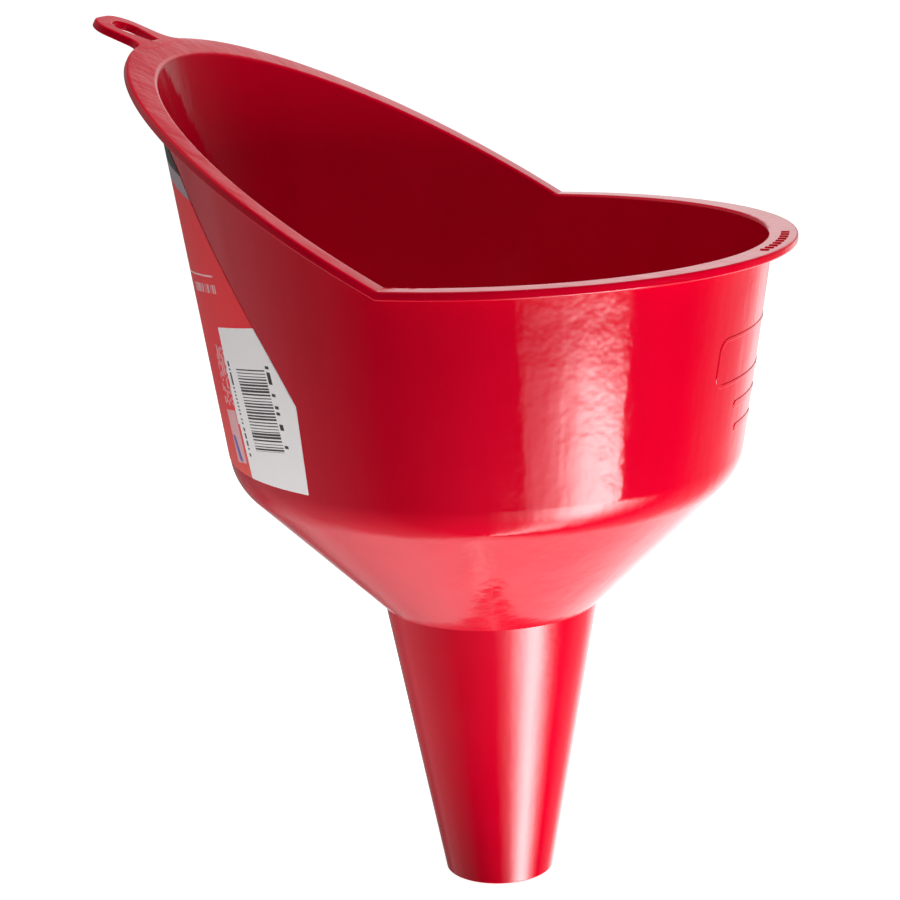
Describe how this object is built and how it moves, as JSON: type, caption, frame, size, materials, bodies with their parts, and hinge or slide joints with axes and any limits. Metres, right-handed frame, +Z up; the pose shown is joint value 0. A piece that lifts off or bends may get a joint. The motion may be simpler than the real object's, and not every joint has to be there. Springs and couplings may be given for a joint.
{
  "type": "funnel",
  "caption": "Wide-mouth fluid funnel: drafted round bowl with a high tilted splash guard at the back, conical floor, long tapered spout, flat rim, hang loop and a wrap label.",
  "frame": {"origin": "centre of the spout's open end", "axes": "+Z up along the funnel's axis, +X towards the low front lip, -X towards the splash guard and hang loop, symmetric about the XZ plane"},
  "size_m": [0.2167, 0.1874, 0.2699],
  "materials": {
    "moulded_plastic": "glossy moulded red polyethylene",
    "label_film": "printed adhesive film, semi-gloss"
  },
  "bodies": {
    "root": {"spout": "moulded_plastic", "cone": "moulded_plastic", "front_wall": "moulded_plastic", "rear_wall": "moulded_plastic", "front_rim": "moulded_plastic", "rear_rim": "moulded_plastic", "hang_loop": "moulded_plastic", "wall_marks": "moulded_plastic", "rim_marks": "moulded_plastic", "label": "label_film"}
  },
  "joints": []
}
